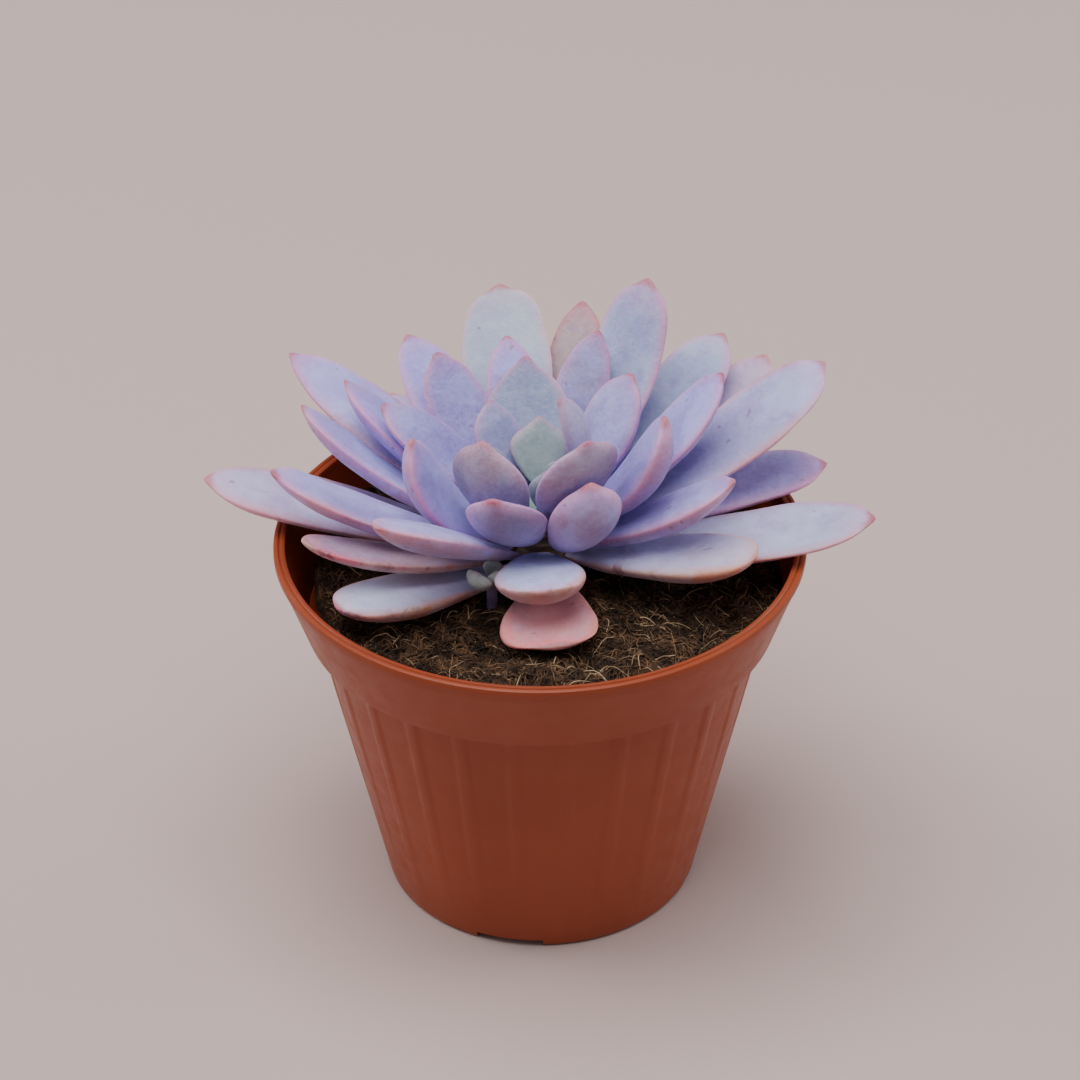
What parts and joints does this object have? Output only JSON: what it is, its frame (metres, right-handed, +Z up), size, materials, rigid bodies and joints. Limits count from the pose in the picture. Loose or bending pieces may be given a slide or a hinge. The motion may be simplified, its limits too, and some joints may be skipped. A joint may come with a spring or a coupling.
{
  "type": "potted succulent",
  "caption": "Rosette succulent with fleshy pointed leaves and a small pup, rooted in peat soil in a round tapered nursery pot.",
  "frame": {"origin": "middle of the pot's base, on the surface it stands on", "axes": "+Z up along the pot's axis; -Y is the side the plant is seen from, +X to the right"},
  "size_m": [0.1304, 0.1062, 0.1139],
  "materials": {
    "pot": "satin moulded plastic",
    "soil": "rough damp peat with pale fibres",
    "stem": "dry rough bark",
    "pup_stem": "smooth fleshy stalk",
    "leaf_outer": "powdery bloom over fleshy skin",
    "leaf_lower": "powdery bloom over fleshy skin",
    "leaf_middle": "powdery bloom over fleshy skin",
    "leaf_upper": "powdery bloom over fleshy skin",
    "leaf_inner": "powdery bloom over fleshy skin",
    "leaf_heart": "powdery bloom over fleshy skin",
    "pup_leaf": "powdery bloom over fleshy skin"
  },
  "bodies": {
    "root": {"pot": "pot", "soil": "soil", "stem": "stem", "pup_stem": "pup_stem", "leaf_outer_1": "leaf_outer", "leaf_outer_2": "leaf_outer", "leaf_outer_3": "leaf_outer", "leaf_outer_4": "leaf_outer", "leaf_outer_5": "leaf_outer", "leaf_outer_6": "leaf_outer", "leaf_outer_7": "leaf_outer", "leaf_outer_8": "leaf_outer", "leaf_outer_9": "leaf_outer", "leaf_outer_10": "leaf_outer", "leaf_lower_1": "leaf_lower", "leaf_lower_2": "leaf_lower", "leaf_lower_3": "leaf_lower", "leaf_lower_4": "leaf_lower", "leaf_lower_5": "leaf_lower", "leaf_lower_6": "leaf_lower", "leaf_lower_7": "leaf_lower", "leaf_lower_8": "leaf_lower", "leaf_lower_9": "leaf_lower", "leaf_lower_10": "leaf_lower", "leaf_lower_11": "leaf_lower", "leaf_middle_1": "leaf_middle", "leaf_middle_2": "leaf_middle", "leaf_middle_3": "leaf_middle", "leaf_middle_4": "leaf_middle", "leaf_middle_5": "leaf_middle", "leaf_middle_6": "leaf_middle", "leaf_middle_7": "leaf_middle", "leaf_middle_8": "leaf_middle", "leaf_upper_1": "leaf_upper", "leaf_upper_2": "leaf_upper", "leaf_upper_3": "leaf_upper", "leaf_upper_4": "leaf_upper", "leaf_upper_5": "leaf_upper", "leaf_upper_6": "leaf_upper", "leaf_inner_1": "leaf_inner", "leaf_inner_2": "leaf_inner", "leaf_inner_3": "leaf_inner", "leaf_inner_4": "leaf_inner", "leaf_inner_5": "leaf_inner", "leaf_heart_1": "leaf_heart", "leaf_heart_2": "leaf_heart", "leaf_heart_3": "leaf_heart", "leaf_heart_4": "leaf_heart", "pup_leaf_1": "pup_leaf", "pup_leaf_2": "pup_leaf", "pup_leaf_3": "pup_leaf"}
  },
  "joints": []
}
